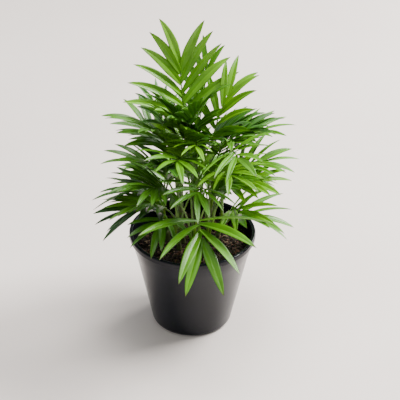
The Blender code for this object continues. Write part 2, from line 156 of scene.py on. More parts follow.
# The fronds that show from the front. Each has its seedling, where it leaves the cane as a share of its
# height, azimuth, rise at the foot and at the tip in degrees, length of stalk and rib in mm, the share of it
# that is bare stalk, pairs of leaflets, longest leaflet in mm, and turn about the rib in degrees
FRONDS = {
    "crown": Frond("tallest", 1, 123, 64, 86, 112, 0.52, 6, 68, -14),
    "upper_right": Frond("rear_right", 1, 43, 98, 51, 102, 0.56, 5, 56, 5),
    "upper_rear": Frond("rear", 1, 62, 85, 68, 112, 0.64, 5, 48, -10),
    "left_rear": Frond("rear_left", 1, 145, 76, 58, 78, 0.72, 4, 42, 5),
    "right_fan": Frond("rear_right", 0.8, 10, 94, 16, 96, 0.64, 5, 50, 0),
    "right_middle": Frond("right", 1, -2, 92, 4, 78, 0.66, 5, 48, 10),
    "right_lower": Frond("front_right", 0.9, -16, 86, 8, 78, 0.66, 5, 46, 14),
    "right_low": Frond("right", 0.5, -15, 58, -8, 34, 0.45, 4, 60, -5),
    "left_high": Frond("rear_left", 0.75, 152, 87, 16, 84, 0.62, 5, 52, -8),
    "left_middle": Frond("middle_left", 0.75, 190, 86, 17, 76, 0.53, 5, 54, 14),
    "left_lower": Frond("left", 0.75, 175, 90, -22, 47, 0.53, 5, 57, 14),
    "left_low": Frond("left", 0.5, 201, 80, -17, 37, 0.43, 5, 62, 0),
    "front_low": Frond("front", 1, -83, 71, -30, 76, 0.58, 4, 76, 0),
    "front_left_low": Frond("front_left", 0.5, 241, 86, -16, 54, 0.64, 4, 48, -14),
    "centre_high": Frond("tallest", 0.75, -91, 97, 6, 94, 0.72, 4, 36, 4),
    "centre_left": Frond("middle_left", 1, -93, 94, 8, 91, 0.8, 4, 50, -10),
    "centre_low": Frond("front_right", 0.7, -104, 96, -4, 98, 0.8, 4, 48, -10),
    "centre_right": Frond("right", 0.8, -79, 104, 10, 142, 0.82, 4, 48, 25),
    "inner_right": Frond("front_right", 1, -65, 98, 3, 104, 0.78, 4, 48, 11),
    "inner_left": Frond("front_left", 1, -126, 92, 12, 79, 0.78, 4, 46, -16),
    "lower_right": Frond("right", 0.6, -48, 79, 2, 40, 0.6, 4, 52, 20),
}

# The fronds that fill each seedling's gaps: an old one that hangs low and outwards, and younger ones that
# arch over, more upright and longer the nearer they point to the middle. Each varies within a range
TALL_SEEDLING = 50
FRONDS_EACH = 4
FRONDS_EACH_TALL = 5
LOW_FROND = Frond("", 0.35, 0, 74, -24, 56, 0.5, 5, 54, 0)
ARCHING_FROND = Frond("", 1, 0, 86, 26, 90, 0.6, 5, 50, 0)
RISE_LOSS_OUTWARD = 6
END_RISE_LOSS_OUTWARD = 26
LENGTH_LOSS_OUTWARD = 12
START_RANGE = (0.6, 0.95)
ANGLE_RANGE = (-10, 10)
LENGTH_RANGE = (-8, 8)
LEAFLET_RANGE = (-4, 4)

# A finer leaflet's half width as a share of the frond's longest leaflet, and how the width grows from the
# foot and narrows to the tip along the blade
BLADE_HALF_WIDTH = 0.078
BLADE_BASE_SHARE = 0.34
BLADE_WIDEST = 0.4
BLADE_GROWTH_POWER = 0.75
BLADE_TIP_POWER = 3.0
BLADE_TIP_ROUNDNESS = 0.85
BLADE_LEAST = 0.02 * MM

# A finer leaflet's section in shares of its half width, and how far it rolls and differs from the others
BLADE_FOLD = 0.3
BLADE_FOLD_POWER = 0.85
BLADE_THICKNESS = 0.075
MIDRIB_GROOVE = 0.05
BLADE_ACROSS = (-1, -0.72, -0.4, -0.1, 0, 0.1, 0.4, 0.72, 1)
BLADE_ROLL = 16
BLADE_WIDTH_RANGE = (0.9, 1.12)

# The leaflets added between two others, against their neighbours
EXTRA_WIDTH = 0.86
EXTRA_LENGTH = 0.93

# A stalk's sheath on its cane: its radius at three points, how far up the second bend stands and how near
# to the stalk, and how the stalk is thicker over its first stretch
STALK_BASE_RADIUS = 1.9 * MM
SHEATH_LENGTH = 13 * MM
SHEATH_SHARES = (0.9, 1.0, 0.95)
SHEATH_BEND = 0.35
SHEATH_LEAN = 0.45
STALK_SWELL = 0.5
STALK_SWELL_FALL = 3
RIB_SIDES = 8

# A cane's leaf bases: their length, flare at the top edge and stations, and how the cane narrows upwards
CANE_SIDES = 16
SHEATH_STEP = 10 * MM
SHEATH_FLARE = 0.2
CANE_STATIONS = 6
CANE_SHARE = 0.9
CANE_NARROWING = 0.1
CANE_FOOT_FALL = 6
LEAST_STEP = 0.05 * MM
STEP_APART = 0.25 * MM

# The surface of the mix and what lies on it
SOIL_RINGS = 26
SOIL_SEGMENTS = 110
SOIL_TOP = 0.8 * POT_HEIGHT
SOIL_SMOOTH_EDGE = 0.5 * MM
SOIL_BUMP = 1.5 * MM
SOIL_BUMP_SIZE = 5 * MM
SOIL_CREASE = 80
UPWARD = 0.6
LOOSE_SEED = 7

# The shape of a crumb or chip a metre across: how flat and narrow it is, and how deep and close its dents
CRUMB_FLATNESS = 0.8
CHIP_FLATNESS = 0.3
GRAIN_NARROWING = 0.75
GRAIN_ROUGHNESS = 0.55
GRAIN_LUMPS = 2.3

# The shape of a fibre a metre long: its thickness, and how far and how often it bends sideways and upwards
FIBRE_STEPS = 10
FIBRE_THICKNESS = 0.022
FIBRE_SWAY = 0.16
FIBRE_SWAY_TURN = 0.55
FIBRE_LIFT = 0.05
FIBRE_LIFT_TURN = 0.8

# The loose grains: how many to a square metre, smallest and largest in mm, and greatest tilt in radians
Grain = namedtuple("Grain", "density smallest largest tilt")
GRAINS = {
    "mix_crumbs": Grain(170000, 1.2, 3.6, 3.0),
    "husk_chips": Grain(30000, 2.2, 5.5, 0.7),
    "husk_fibres": Grain(17000, 7.0, 17.0, 0.25),
}

# The greens of the leaves, from the palest to the darkest, and which of them each frond has. The deep and
# dark greens of the left and rear fronds are partly their own green and partly painted shade
TONES = {
    "fresh": (0.125, 0.33, 0.002),
    "bright": (0.085, 0.26, 0.003),
    "middle": (0.063, 0.20, 0.004),
    "deep": (0.034, 0.13, 0.005),
    "dark": (0.018, 0.078, 0.006),
}
# The left, lower left and rear fronds take darker greens partly as painted shade, as they stand away from the
# light on the right
FROND_TONES = {
    "crown": "fresh", "upper_right": "fresh", "upper_rear": "bright", "left_rear": "deep",
    "right_fan": "bright", "right_middle": "bright", "right_lower": "fresh", "right_low": "bright",
    "left_high": "middle", "left_middle": "middle", "left_lower": "deep", "left_low": "dark",
    "front_low": "bright", "front_left_low": "middle", "centre_high": "fresh", "centre_left": "bright",
    "centre_low": "middle", "centre_right": "bright", "inner_right": "fresh", "inner_left": "middle",
    "lower_right": "fresh",
}
OTHER_TONES = ("bright", "middle", "middle", "deep", "fresh")

# The finish of a leaf
LEAF_ROUGHNESS = 0.36
PATCH_SIZE = 14 * MM
PATCH_SHADES = (0.8, 1.18)
VEIN_SPACING = 0.09
VEIN_RELIEF = 0.35
VEIN_DEPTH = 0.6 * MM
MIDRIB_SHADE = 1.6
MIDRIB_WEIGHT = 0.55
TIP_WEIGHT = 0.8
DRY_GREEN = (0.09, 0.075, 0.02)

# The finish of the pot: the angle in degrees from which an edge is sharp, its gloss, its colour and roughness
# from the cleaner to the dustier spots, and the faint waves of the moulding
POT_CREASE = 32
POT_SPECULAR = 0.22
POT_COLOURS = ((0.003, 0.004, 0.007), (0.006, 0.007, 0.012))
POT_ROUGHNESS = (0.16, 0.27)
DUST_SIZE = 22 * MM
MOULD_SIZE = 5 * MM
MOULD_RELIEF = 0.05
MOULD_DEPTH = 0.4 * MM

# The finishes with a grain: roughness, size of the grain, darkest and palest colour, relief, and how the
# grain is drawn out along each axis
Finish = namedtuple("Finish", "roughness size dark pale relief stretch", defaults=[(1, 1, 1)])
FINISHES = {
    "Stalk green": Finish(0.4, 9 * MM, (0.05, 0.13, 0.008), (0.12, 0.24, 0.016), 0.1),
    "Cane sheath": Finish(0.6, 4 * MM, (0.045, 0.045, 0.012), (0.11, 0.16, 0.03), 0.5, (1, 1, 0.2)),
    "Potting mix": Finish(0.95, 1.6 * MM, (0.006, 0.004, 0.003), (0.045, 0.024, 0.014), 1.0),
    "Mix crumbs": Finish(0.95, 3 * MM, (0.005, 0.0035, 0.003), (0.05, 0.026, 0.016), 0.6),
    "Husk chips": Finish(0.8, 3 * MM, (0.05, 0.018, 0.01), (0.17, 0.062, 0.034), 0.6),
    "Husk fibres": Finish(0.8, 3 * MM, (0.13, 0.06, 0.03), (0.42, 0.29, 0.18), 0.6),
    "Pale floor": Finish(0.45, 250 * MM, (0.82, 0.725, 0.66), (0.86, 0.765, 0.70), 0.0),
}

# The room: its sky, and each lamp's place and size in metres and its power in watts
SKY_COLOUR = (0.93, 0.96, 1, 1)
SKY_STRENGTH = 0.6
Lamp = namedtuple("Lamp", "place width height power")
LAMPS = {
    "window": Lamp((1.2, 0.4, 1.5), 0.7, 0.7, 70),
    "overhead": Lamp((0.1, 0.2, 1.9), 0.9, 0.9, 34),
    "pane": Lamp((1.1, 1.2, 0.95), 0.5, 0.9, 22),
}
LAMP_AIM = Vector((0, 0, 0.15))
FLOOR_SIZE = 8

# The camera: its place in metres, its pitch and roll in radians and its lens in mm
CAMERA_PLACE = (0.00715, -1.087, 0.8064)
CAMERA_PITCH = 0.5513
CAMERA_ROLL = 0.01197
CAMERA_LENS = 117


def polar(radius, azimuth, height=0.0):
    turned = math.radians(azimuth)
    return Vector((radius * math.cos(turned), radius * math.sin(turned), height))


def arc(centre, radius, start, end, steps):
    """Points (radius, height) of a round corner, between two angles in degrees."""
    angles = [math.radians(start + (end - start) * k / steps) for k in range(steps + 1)]
    return [(centre[0] + radius * math.cos(a), centre[1] + radius * math.sin(a)) for a in angles]


def body_radius(height):
    """Outer radius of the pot's straight wall, which widens from its base to the underside of the lip."""
    under_lip = POT_HEIGHT - LIP_HEIGHT
    return BASE_RADIUS + (RIM_RADIUS - LIP_OVERHANG - BASE_RADIUS) * height / under_lip


def pot_profile():
    under_lip = POT_HEIGHT - LIP_HEIGHT
    collar = under_lip - COLLAR_DEPTH
    inner_floor = body_radius(BASE_CORNER) - WALL - BASE_CORNER
    lip_inner = body_radius(under_lip) - WALL
    points = [(0, FLOOR)]
    points += arc((inner_floor, FLOOR + BASE_CORNER), BASE_CORNER, -90, 0, CORNER_STEPS)
    points += [(body_radius(collar) - WALL - COLLAR_STEP, collar - COLLAR_STEP)]
    points += [(body_radius(collar) - WALL, collar + COLLAR_STEP)]
    points += [(lip_inner, under_lip)]
    points += arc((lip_inner + LIP_ROUND, POT_HEIGHT - LIP_ROUND), LIP_ROUND, 180, 90, CORNER_STEPS)
    points += arc((RIM_RADIUS - LIP_ROUND, POT_HEIGHT - LIP_ROUND), LIP_ROUND, 90, 0, CORNER_STEPS)
    points += [(RIM_RADIUS, under_lip + LIP_CHAMFER)]
    points += [(RIM_RADIUS - LIP_CHAMFER, under_lip)]
    points += [(body_radius(under_lip), under_lip)]
    points += [(body_radius(collar), collar + COLLAR_STEP)]
    points += [(body_radius(collar) - COLLAR_STEP, collar - COLLAR_STEP)]
    outer_corner = body_radius(BASE_CORNER) - COLLAR_STEP - BASE_CORNER
    points += arc((outer_corner, BASE_CORNER), BASE_CORNER, 0, -90, CORNER_STEPS)
    points += [(0, 0)]
    return points


def soil_height(radius):
    """Height of the potting mix, flat in the middle and falling a little to the pot's wall."""
    top = POT_HEIGHT - SOIL_BELOW_RIM
    wall = body_radius(top) - WALL
    fall = max(0.0, (radius - SOIL_FLAT) / (wall - SOIL_FLAT))
    return top - SOIL_FALL * fall


def cane_path(seedling):
    """The foot of the cane, cut flat on the soil, then its leaning length."""
    foot = polar(seedling.reach * MM, seedling.azimuth)
    foot.z = soil_height(foot.length) + GAP
    lean = math.radians(seedling.lean)
    along = polar(math.sin(lean), seedling.lean_azimuth, math.cos(lean))
    start = foot + UP * CANE_FOOT_HEIGHT
    rest = seedling.height * MM - CANE_FOOT_HEIGHT
    return [foot] + [start + along * rest * k / CANE_JOINTS for k in range(CANE_JOINTS + 1)]


def rise_at(frond, along):
    return math.radians(frond.rise + (frond.end_rise - frond.rise) * along**RIB_BEND_POWER)


def frame_at(frond, along):
    """The way the rib runs there, the blade's right side and its upper face."""
    heading = polar(1, frond.azimuth)
    rise = rise_at(frond, along)
    run = heading * math.cos(rise) + UP * math.sin(rise)
    side = heading.cross(UP)
    turn = Matrix.Rotation(math.radians(frond.turn), 3, run)
    return run, turn @ side, turn @ side.cross(run)


def rib_points(frond, foot):
    points = [foot]
    for k in range(RIB_STEPS):
        run = frame_at(frond, (k + 0.5) / RIB_STEPS)[0]
        points.append(points[-1] + run * frond.length * MM / RIB_STEPS)
    return points


def on_rib(points, along):
    place = min(along * RIB_STEPS, RIB_STEPS - 1e-6)
    k = int(place)
    return points[k].lerp(points[k + 1], place - k)


def rib_radius(along):
    return STALK_RADIUS + (RIB_TIP_RADIUS - STALK_RADIUS) * along


def loft(rings, tip=None):
    """Points and faces of a closed shape through rings of three points, each going round the same way."""
    points = [point for ring in rings for point in ring]
    last = 3 * len(rings) - 3
    faces = [(0, 1, 2)]
    for first in range(0, last, 3):
        for i, j in ((0, 1), (1, 2), (2, 0)):
            faces.append((first + i, first + 3 + i, first + 3 + j, first + j))
    if tip is None:
        return points, faces + [(last + 2, last + 1, last)]
    tip_faces = [(last + 1, last, last + 3), (last + 2, last + 1, last + 3), (last, last + 2, last + 3)]
    return points + [tip], faces + tip_faces


def rib_shape(frond, points, swell=0.0):
    """The stalk and rib, three-sided, with one side on top."""
    rings = []
    for k, point in enumerate(points):
        side, face = frame_at(frond, k / RIB_STEPS)[1:]
        radius = rib_radius(k / RIB_STEPS) + swell
        rings.append([point + radius * (side * math.cos(a) + face * math.sin(a)) for a in
                      (math.radians(30), math.radians(150), math.radians(270))])
    return loft(rings)


def leaflet_path(frond, points, along, hand, change):
    """Points and directions from the rib to the leaflet's tip, and the way its upper face looks."""
    swing, lift, share = change
    blade = (along - frond.bare) / (1 - frond.bare)
    run, side, face = frame_at(frond, along)
    angle = math.radians(ROOT_ANGLE + (TIP_ANGLE - ROOT_ANGLE) * blade + swing)
    raised = math.radians(LIFT + lift)
    out = hand * side * math.cos(raised) + face * math.sin(raised)
    start = run * math.cos(angle) + out * math.sin(angle)
    step = frond.leaflet * MM * (1 + (LEAFLET_TIP_SHARE - 1) * blade) * share / LEAFLET_STEPS
    path = [on_rib(points, along)]
    ways = [start]
    for k in range(LEAFLET_STEPS):
        way = (start - UP * DROOP * ((k + 0.5) / LEAFLET_STEPS) ** DROOP_POWER).normalized()
        path.append(path[-1] + way * step)
        ways.append(way)
    return path, ways, face * (1 - FACE_UP_SHARE) + UP * FACE_UP_SHARE


def leaflet_shape(frond, points, along, hand, change, swell=0.0, first=0):
    """One leaflet: a three-sided blade with a keel, from inside the rib to its pointed tip."""
    path, ways, upper = leaflet_path(frond, points, along, hand, change)
    width = frond.leaflet * MM * LEAFLET_WIDTH_SHARE
    rings = []
    for step, share in LEAFLET_OUTLINE[first:]:
        across = ways[step].cross(upper).normalized()
        above = across.cross(ways[step])
        half = across * (width * share / 2 + swell)
        edge = path[step] + above * (LEAFLET_FOLD * width * share + swell)
        keel = path[step] - above * (LEAFLET_THICKNESS * max(share, 0.5) + swell)
        rings.append([edge - half, keel, edge + half])
    return loft(rings, path[-1] + ways[-1] * swell)


Piece = namedtuple("Piece", "owner low high whole outer")


def piece_of(shape, owner, outer=None):
    """A shape with its box, and the part of it that the leaflets of its own frond keep clear of."""
    low = [min(point[i] for point in shape[0]) for i in range(3)]
    high = [max(point[i] for point in shape[0]) for i in range(3)]
    whole = BVHTree.FromPolygons(*shape)
    return Piece(owner, low, high, whole, BVHTree.FromPolygons(*outer) if outer else whole)


def boxes_meet(a, b):
    return all(a.low[i] <= b.high[i] and b.low[i] <= a.high[i] for i in range(3))


def is_clear(trial, placed):
    """Whether a trial piece touches nothing. Within one frond only the outer parts count."""
    for other in placed:
        if boxes_meet(trial, other):
            part = "outer" if other.owner == trial.owner else "whole"
            if getattr(trial, part).overlap(getattr(other, part)):
                return False
    return True


def stalk_foot(frond, gap):
    """Where a stalk starts: beside its cane with a flat side to it, or on top of it for the youngest."""
    path = cane_path(SEEDLINGS[frond.seedling])
    if frond.start == 1:
        return path[-1] + UP * 2 * GAP
    cane_radius = CANE_RADIUS * (1 - CANE_TAPER * (1 + CANE_JOINTS * frond.start))
    return path[1].lerp(path[-1], frond.start) + polar(cane_radius + STALK_RADIUS / 2 + gap, frond.azimuth)


def widest_gap(azimuths):
    """The middle of the widest gap between some azimuths."""
    around = sorted(azimuth % 360 for azimuth in azimuths)
    gaps = [((b - a) % 360 or 360, a) for a, b in zip(around, around[1:] + around[:1])]
    width, start = max(gaps)
    return (start + width / 2) % 360


def add_hidden_fronds(rng):
    """The fronds that fill each seedling's own gaps, so that the crown is full all round."""
    fronds = dict(FRONDS)
    for name, seedling in SEEDLINGS.items():
        own = [frond for frond in fronds.values() if frond.seedling == name]
        wanted = FRONDS_EACH_TALL if seedling.height >= TALL_SEEDLING else FRONDS_EACH
        for k in range(wanted - len(own)):
            if all(frond.end_rise > 0 for frond in own):
                made = low_frond(name, seedling, rng)
            else:
                made = arching_frond(name, seedling, own, rng)
            own.append(made)
            fronds[f"{name}_{k + 1}"] = made
    return fronds


def low_frond(name, seedling, rng):
    """An old frond that hangs outwards from low on its cane."""
    return LOW_FROND._replace(seedling=name, azimuth=seedling.azimuth + rng.uniform(*ANGLE_RANGE))


def arching_frond(name, seedling, own, rng):
    """A frond into the widest gap between the others, on top of its cane where none is there yet."""
    azimuth = widest_gap([frond.azimuth for frond in own]) + rng.uniform(*ANGLE_RANGE)
    outward = math.cos(math.radians(azimuth - seedling.azimuth))
    first = ARCHING_FROND
    return first._replace(
        seedling=name,
        start=1 if all(frond.start < 1 for frond in own) else rng.uniform(*START_RANGE),
        azimuth=azimuth,
        rise=first.rise - RISE_LOSS_OUTWARD * outward,
        end_rise=first.end_rise - END_RISE_LOSS_OUTWARD * outward + rng.uniform(*ANGLE_RANGE),
        length=first.length - LENGTH_LOSS_OUTWARD * outward + rng.uniform(*LENGTH_RANGE),
        leaflet=first.leaflet + rng.uniform(*LEAFLET_RANGE),
    )


def clear_stalks(name, frond, placed):
    """The changes that keep a stalk and rib clear, each as a frond and the points of its rib."""
    for more, turn, gap in product(STALK_RISES, STALK_TURNS, STALK_GAPS):
        azimuth = frond.azimuth + turn
        trial = frond._replace(azimuth=azimuth, rise=frond.rise + more, end_rise=frond.end_rise + more)
        points = rib_points(trial, stalk_foot(trial, gap * MM))
        if is_clear(piece_of(rib_shape(trial, points, CLEARANCE), name), placed):
            yield trial, points


def leaflet_places(frond):
    """How far along the frond each leaflet stands and on which side of the rib, from the lowest up."""
    step = (1 - frond.bare) / (frond.pairs - 1)
    for k in range(frond.pairs):
        for hand in (-1, 1):
            late = STAGGER * step if hand > 0 and k < frond.pairs - 1 else 0
            yield frond.bare + k * step + late, hand


def grow_leaflets(name, frond, points, placed):
    """The leaflets that fit, each with its piece and where it stands: along, hand and change."""
    grown = []
    for along, hand in leaflet_places(frond):
        for change in LEAFLET_TRIES:
            whole = leaflet_shape(frond, points, along, hand, change, CLEARANCE)
            outer = leaflet_shape(frond, points, along, hand, change, CLEARANCE, 1)
            if is_clear(piece_of(whole, name, outer), placed + [piece for piece, _ in grown]):
                whole = leaflet_shape(frond, points, along, hand, change)
                outer = leaflet_shape(frond, points, along, hand, change, 0, 1)
                grown.append((piece_of(whole, name, outer), (along, hand, change)))
                break
    return grown


def grow_frond(name, frond, placed):
    """Of the clear directions, the first with room for nearly every leaflet, or else the best."""
    best = None
    enough = 2 * frond.pairs - MISSING_LEAFLETS
    for trial, points in clear_stalks(name, frond, placed):
        rib = piece_of(rib_shape(trial, points), name)
        grown = grow_leaflets(name, trial, points, placed + [rib])
        if best is None or len(grown) > len(best[2]):
            best = trial, points, grown
        if len(grown) >= enough:
            break
    return best


def grow_plant():
    """Every frond of the source, as its settled frond, the points of its rib and its leaflets' places."""
    placed = []
    for name, node in frame["nodes"].items():
        if not name.startswith("frond_"):
            points = [vertex.co.copy() for vertex in node.data.vertices]
            faces = [tuple(face.vertices) for face in node.data.polygons]
            placed.append(piece_of((points, faces), name))
    stalks = {}
    for name, frond in FRONDS.items():
        stalks[name] = next(clear_stalks(name, frond, placed))
        placed.append(piece_of(rib_shape(*stalks[name]), name))
    plant = {}
    for name, (frond, points) in stalks.items():
        grown = grow_leaflets(name, frond, points, placed)
        placed += [piece for piece, _ in grown]
        plant[name] = frond, points, [place for _, place in grown]
    for name, frond in add_hidden_fronds(random.Random(SEED)).items():
        if name not in plant:
            best = grow_frond(name, frond, placed)
            if best:
                settled, points, grown = best
                placed += [piece_of(rib_shape(settled, points), name)] + [piece for piece, _ in grown]
                plant[name] = settled, points, [place for _, place in grown]
    return plant


def node_named(tree, kind, name, **settings):
    """A node of a kind, with its name and its settings."""
    made = tree.nodes.new(kind)
    made.name = name
    for key, value in settings.items():
        setattr(made, key, value)
    return made


def new_tree(name, inputs):
    """A Geometry Nodes tree with a geometry input and output, and further inputs by name and kind."""
    tree = bpy.data.node_groups.new(name, "GeometryNodeTree")
    tree.interface.new_socket("Geometry", in_out="INPUT", socket_type="NodeSocketGeometry")
    for label, kind in inputs:
        tree.interface.new_socket(label, in_out="INPUT", socket_type=kind)
    tree.interface.new_socket("Geometry", in_out="OUTPUT", socket_type="NodeSocketGeometry")
    return tree, tree.nodes.new("NodeGroupInput"), tree.nodes.new("NodeGroupOutput")


def finish_tree(tree, start, end, last):
    """Ends a tree in Realize Instances and Set Material."""
    real = tree.nodes.new("GeometryNodeRealizeInstances")
    paint = tree.nodes.new("GeometryNodeSetMaterial")
    tree.links.new(last, real.inputs["Geometry"])
    tree.links.new(real.outputs["Geometry"], paint.inputs["Geometry"])
    tree.links.new(start.outputs["Material"], paint.inputs["Material"])
    tree.links.new(paint.outputs["Geometry"], end.inputs["Geometry"])


def sweep_tree():
    """Sweeps a section along every line, scaled by the points' size, with its X axis to their facing."""
    inputs = [("Section", "NodeSocketObject"), ("Material", "NodeSocketMaterial")]
    tree, start, end = new_tree("Sweep", inputs)
    lines = node_named(tree, "GeometryNodeMeshToCurve", "Lines")
    size = node_named(tree, "GeometryNodeInputNamedAttribute", "Size", data_type="FLOAT")
    size.inputs["Name"].default_value = "size"
    facing = node_named(tree, "GeometryNodeInputNamedAttribute", "Facing", data_type="FLOAT_VECTOR")
    facing.inputs["Name"].default_value = "facing"
    turn = node_named(tree, "GeometryNodeSetCurveNormal", "Turn", mode="FREE")
    section = node_named(tree, "GeometryNodeObjectInfo", "Section")
    ring = node_named(tree, "GeometryNodeMeshToCurve", "Ring")
    sweep = node_named(tree, "GeometryNodeCurveToMesh", "Sweep")
    sweep.inputs["Fill Caps"].default_value = True
    tree.links.new(start.outputs["Geometry"], lines.inputs["Mesh"])
    tree.links.new(lines.outputs["Curve"], turn.inputs["Curve"])
    tree.links.new(facing.outputs["Attribute"], turn.inputs["Normal"])
    tree.links.new(turn.outputs["Curve"], sweep.inputs["Curve"])
    tree.links.new(start.outputs["Section"], section.inputs["Object"])
    tree.links.new(section.outputs["Geometry"], ring.inputs["Mesh"])
    tree.links.new(ring.outputs["Curve"], sweep.inputs["Profile Curve"])
    tree.links.new(size.outputs["Attribute"], sweep.inputs["Scale"])
    finish_tree(tree, start, end, sweep.outputs["Mesh"])
    return tree


def scatter_tree():
    """Strews copies of one grain over the upward faces within reach, each turned and scaled at random."""
    inputs = [("Grain", "NodeSocketObject"), ("Density", "NodeSocketFloat"), ("Smallest", "NodeSocketFloat")]
    inputs += [("Largest", "NodeSocketFloat"), ("Tilt", "NodeSocketFloat"), ("Seed", "NodeSocketInt")]
    inputs += [("Reach", "NodeSocketFloat")]
    tree, start, end = new_tree("Strew", inputs + [("Material", "NodeSocketMaterial")])
    points = node_named(tree, "GeometryNodeDistributePointsOnFaces", "Places")
    upward = node_named(tree, "FunctionNodeCompare", "Upward", data_type="FLOAT", operation="GREATER_THAN")
    upward.inputs[1].default_value = UPWARD
    place = tree.nodes.new("GeometryNodeInputPosition")
    flat = node_named(tree, "ShaderNodeVectorMath", "Flat", operation="MULTIPLY")
    flat.inputs[1].default_value = (1, 1, 0)
    distance = node_named(tree, "ShaderNodeVectorMath", "Distance", operation="LENGTH")
    within = node_named(tree, "FunctionNodeCompare", "Within", data_type="FLOAT", operation="LESS_THAN")
    both = node_named(tree, "FunctionNodeBooleanMath", "Both", operation="AND")
    normal = tree.nodes.new("GeometryNodeInputNormal")
    parts = tree.nodes.new("ShaderNodeSeparateXYZ")
    grain = node_named(tree, "GeometryNodeObjectInfo", "Grain")
    put = node_named(tree, "GeometryNodeInstanceOnPoints", "Put")
    turn = node_named(tree, "FunctionNodeRandomValue", "Turn", data_type="FLOAT_VECTOR")
    low = node_named(tree, "ShaderNodeCombineXYZ", "Least turn")
    high = node_named(tree, "ShaderNodeCombineXYZ", "Most turn")
    high.inputs["Z"].default_value = 2 * math.pi
    back = node_named(tree, "ShaderNodeMath", "Back", operation="MULTIPLY")
    back.inputs[1].default_value = -1
    scale = node_named(tree, "FunctionNodeRandomValue", "Scale", data_type="FLOAT")
    link = tree.links.new
    link(start.outputs["Geometry"], points.inputs["Mesh"])
    link(normal.outputs["Normal"], parts.inputs["Vector"])
    link(parts.outputs["Z"], upward.inputs[0])
    link(place.outputs["Position"], flat.inputs[0])
    link(flat.outputs["Vector"], distance.inputs[0])
    link(distance.outputs["Value"], within.inputs[0])
    link(start.outputs["Reach"], within.inputs[1])
    link(upward.outputs["Result"], both.inputs[0])
    link(within.outputs["Result"], both.inputs[1])
    link(both.outputs["Boolean"], points.inputs["Selection"])
    link(start.outputs["Density"], points.inputs["Density"])
    link(start.outputs["Seed"], points.inputs["Seed"])
    link(points.outputs["Points"], put.inputs["Points"])
    link(start.outputs["Grain"], grain.inputs["Object"])
    link(grain.outputs["Geometry"], put.inputs["Instance"])
    link(start.outputs["Tilt"], back.inputs[0])
    for axis in ("X", "Y"):
        link(back.outputs["Value"], low.inputs[axis])
        link(start.outputs["Tilt"], high.inputs[axis])
    link(low.outputs["Vector"], turn.inputs[0])
    link(high.outputs["Vector"], turn.inputs[1])
    link(start.outputs["Seed"], turn.inputs["Seed"])
    link(turn.outputs[0], put.inputs["Rotation"])
    link(start.outputs["Smallest"], scale.inputs[2])
    link(start.outputs["Largest"], scale.inputs[3])
    link(start.outputs["Seed"], scale.inputs["Seed"])
    link(scale.outputs[1], put.inputs["Scale"])
    finish_tree(tree, start, end, put.outputs["Instances"])
    return tree


def put_in_scene(name, data):
    made = bpy.data.objects.new(name, data)
    bpy.context.scene.collection.objects.link(made)
    return made


def remove(*helpers):
    for helper in helpers:
        bpy.data.objects.remove(helper, do_unlink=True)


def made_plain(name, source, tree, values):
    """The tree's result on a source object, as a plain mesh object of that name."""
    nodes = source.modifiers.new("Grow", "NODES")
    nodes.node_group = tree
    sockets = {item.name: item.identifier for item in tree.interface.items_tree if item.in_out == "INPUT"}
    for label, value in values.items():
        nodes[sockets[label]] = value
    graph = bpy.context.evaluated_depsgraph_get()
    mesh = bpy.data.meshes.new_from_object(source.evaluated_get(graph))
    source.modifiers.remove(nodes)
    mesh.name = name
    mesh.polygons.foreach_set("use_smooth", [True] * len(mesh.polygons))
    return put_in_scene(name, mesh)


Line = namedtuple("Line", "points sizes facings alongs")


def lines_object(name, lines):
    """Separate lines as one mesh of edges, with each point's size, facing and place along its line."""
    points = [point for line in lines for point in line.points]
    edges = []
    first = 0
    for line in lines:
        edges += [(first + k, first + k + 1) for k in range(len(line.points) - 1)]
        first += len(line.points)
    mesh = bpy.data.meshes.new(name)
    mesh.from_pydata(points, edges, [])
    for label, field in (("size", "sizes"), ("along", "alongs")):
        values = [value for line in lines for value in getattr(line, field)]
        mesh.attributes.new(label, "FLOAT", "POINT").data.foreach_set("value", values)
    facings = [part for line in lines for facing in line.facings for part in facing]
    mesh.attributes.new("facing", "FLOAT_VECTOR", "POINT").data.foreach_set("vector", facings)
    return put_in_scene(name, mesh)


def section_object(name, points):
    """A closed ring of (up, across) points to sweep, with the share across as an attribute."""
    mesh = bpy.data.meshes.new(name)
    edges = [(k, (k + 1) % len(points)) for k in range(len(points))]
    mesh.from_pydata([(up, across, 0) for up, across in points], edges, [])
    shares = [across for _, across in points]
    mesh.attributes.new("across", "FLOAT", "POINT").data.foreach_set("value", shares)
    return put_in_scene(name, mesh)


def blade_section():
    """A leaflet's section, folded up from the midrib, thin, with a groove along the middle."""
    def height(across):
        return BLADE_FOLD * abs(across) ** BLADE_FOLD_POWER - (MIDRIB_GROOVE if across == 0 else 0)

    upper = [(height(across), across) for across in BLADE_ACROSS]
    lower = [(height(across) - BLADE_THICKNESS, across) for across in BLADE_ACROSS[-2:0:-1]]
    return section_object("blade_section", upper + lower)


def round_section(name, sides):
    """A ring with a radius of one metre, to scale by the points' size."""
    angles = [2 * math.pi * k / sides for k in range(sides)]
    return section_object(name, [(math.cos(angle), math.sin(angle)) for angle in angles])


def blade_width(along):
    """A leaflet's width along its length, as a share of its widest."""
    grown = min(1, along / BLADE_WIDEST) ** BLADE_GROWTH_POWER
    widening = BLADE_BASE_SHARE + (1 - BLADE_BASE_SHARE) * grown
    return widening * max(0.0, 1 - along**BLADE_TIP_POWER) ** BLADE_TIP_ROUNDNESS


